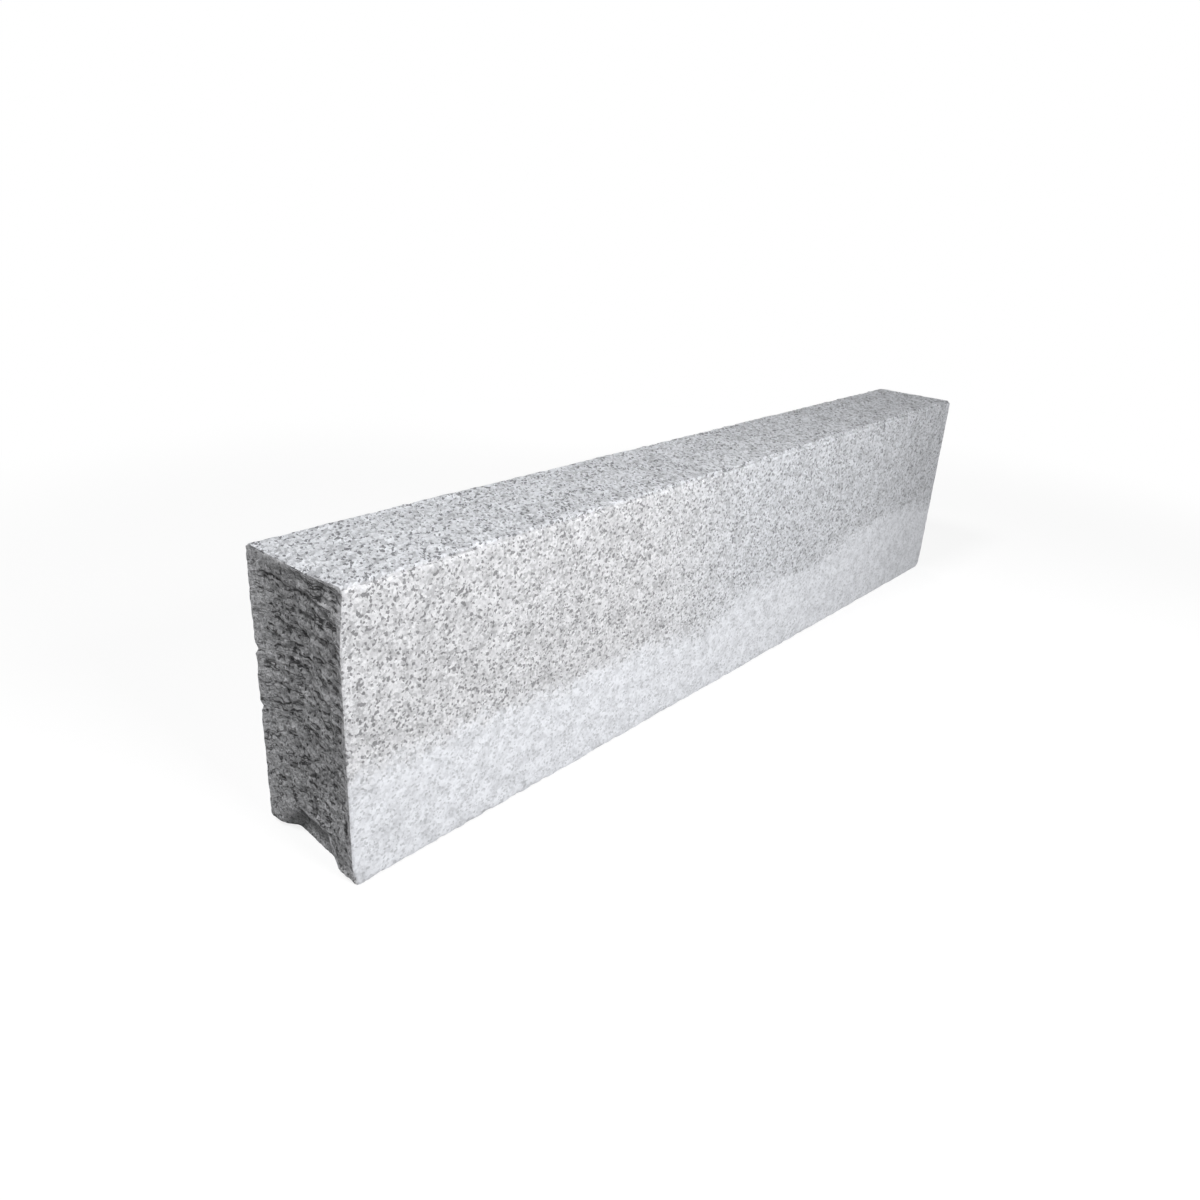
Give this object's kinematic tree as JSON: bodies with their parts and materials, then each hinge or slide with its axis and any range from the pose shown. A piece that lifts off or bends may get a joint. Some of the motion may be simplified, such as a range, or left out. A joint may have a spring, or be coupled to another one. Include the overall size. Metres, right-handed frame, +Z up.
{
  "type": "granite kerb stone",
  "caption": "Straight block of light grey granite that edges a road or path, with a hammered top and upper road face, a sawn foot and bed, pitched top arrises and rough split ends.",
  "frame": {"origin": "middle of the bed, at the bottom centre of the stone's box", "axes": "+X along the kerb from the near split end to the far one, +Y from the road face to the back, +Z up from the bed"},
  "size_m": [1, 0.12, 0.25],
  "materials": {
    "granite": "hammered on the top and the upper road face, sawn below, on the back and on the bed, split at the ends"
  },
  "bodies": {
    "root": {"kerb_stone": "granite"}
  },
  "joints": []
}
